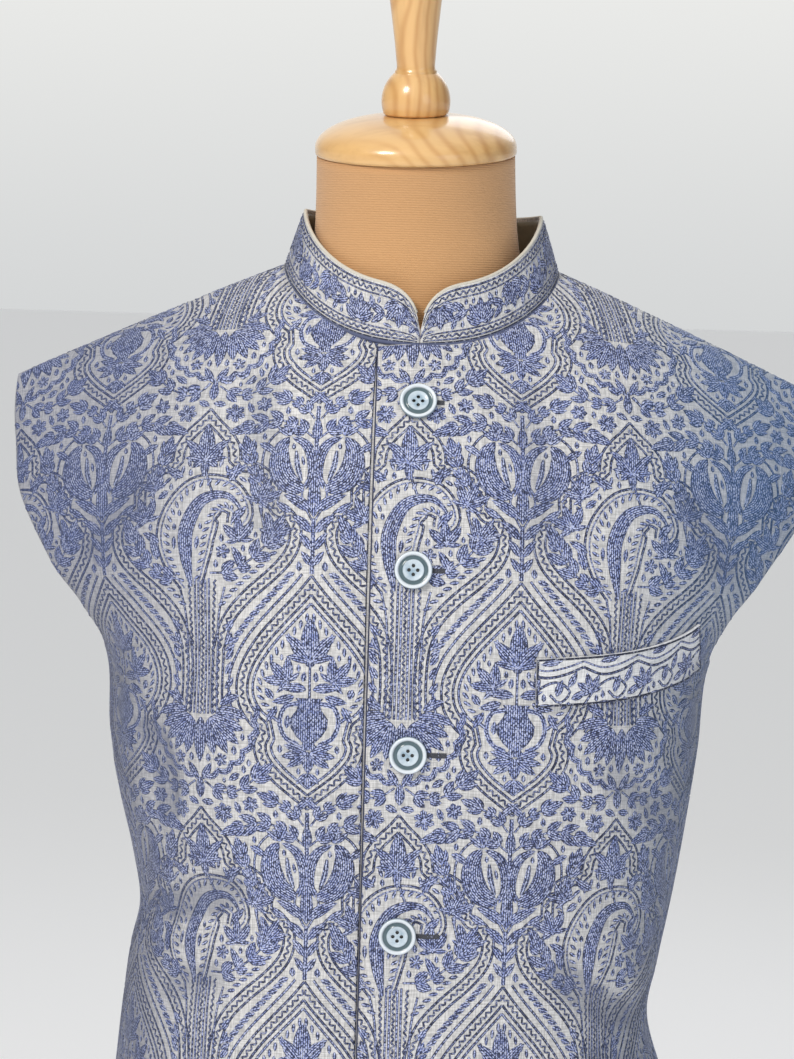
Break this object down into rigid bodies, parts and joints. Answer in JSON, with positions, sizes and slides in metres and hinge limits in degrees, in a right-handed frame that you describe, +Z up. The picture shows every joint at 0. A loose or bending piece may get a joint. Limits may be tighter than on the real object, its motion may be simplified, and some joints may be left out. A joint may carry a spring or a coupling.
{
  "type": "mandarin collar waistcoat on dress form",
  "caption": "sleeveless mandarin collar waistcoat, buttoned, with a slanted breast welt, worn by a limbless dress form with a turned wooden neck cap, finial and plinth",
  "frame": {"origin": "middle of the plinth's underside, on the surface that the form stands on", "axes": "+Z up, the front of the waistcoat faces -Y, the wearer's left is +X"},
  "size_m": [0.4826, 0.2546, 0.9765],
  "materials": {
    "cloth": "slubbed ecru cloth closely worked in periwinkle chain stitch",
    "lining": "smooth grey olive lining",
    "button": "polished pale blue shell-like buttons",
    "jersey": "tan ribbed jersey over a padded form",
    "wood": "turned light wood with gloss varnish"
  },
  "bodies": {
    "root": {"front_left": "cloth", "front_right": "cloth", "back": "cloth", "collar": "cloth", "collar_lining": "lining", "pocket_welt": "cloth", "button_1": "button", "button_2": "button", "button_3": "button", "button_4": "button", "button_5": "button", "form": "jersey", "neck_cap": "wood", "finial": "wood", "base": "wood"}
  },
  "joints": []
}
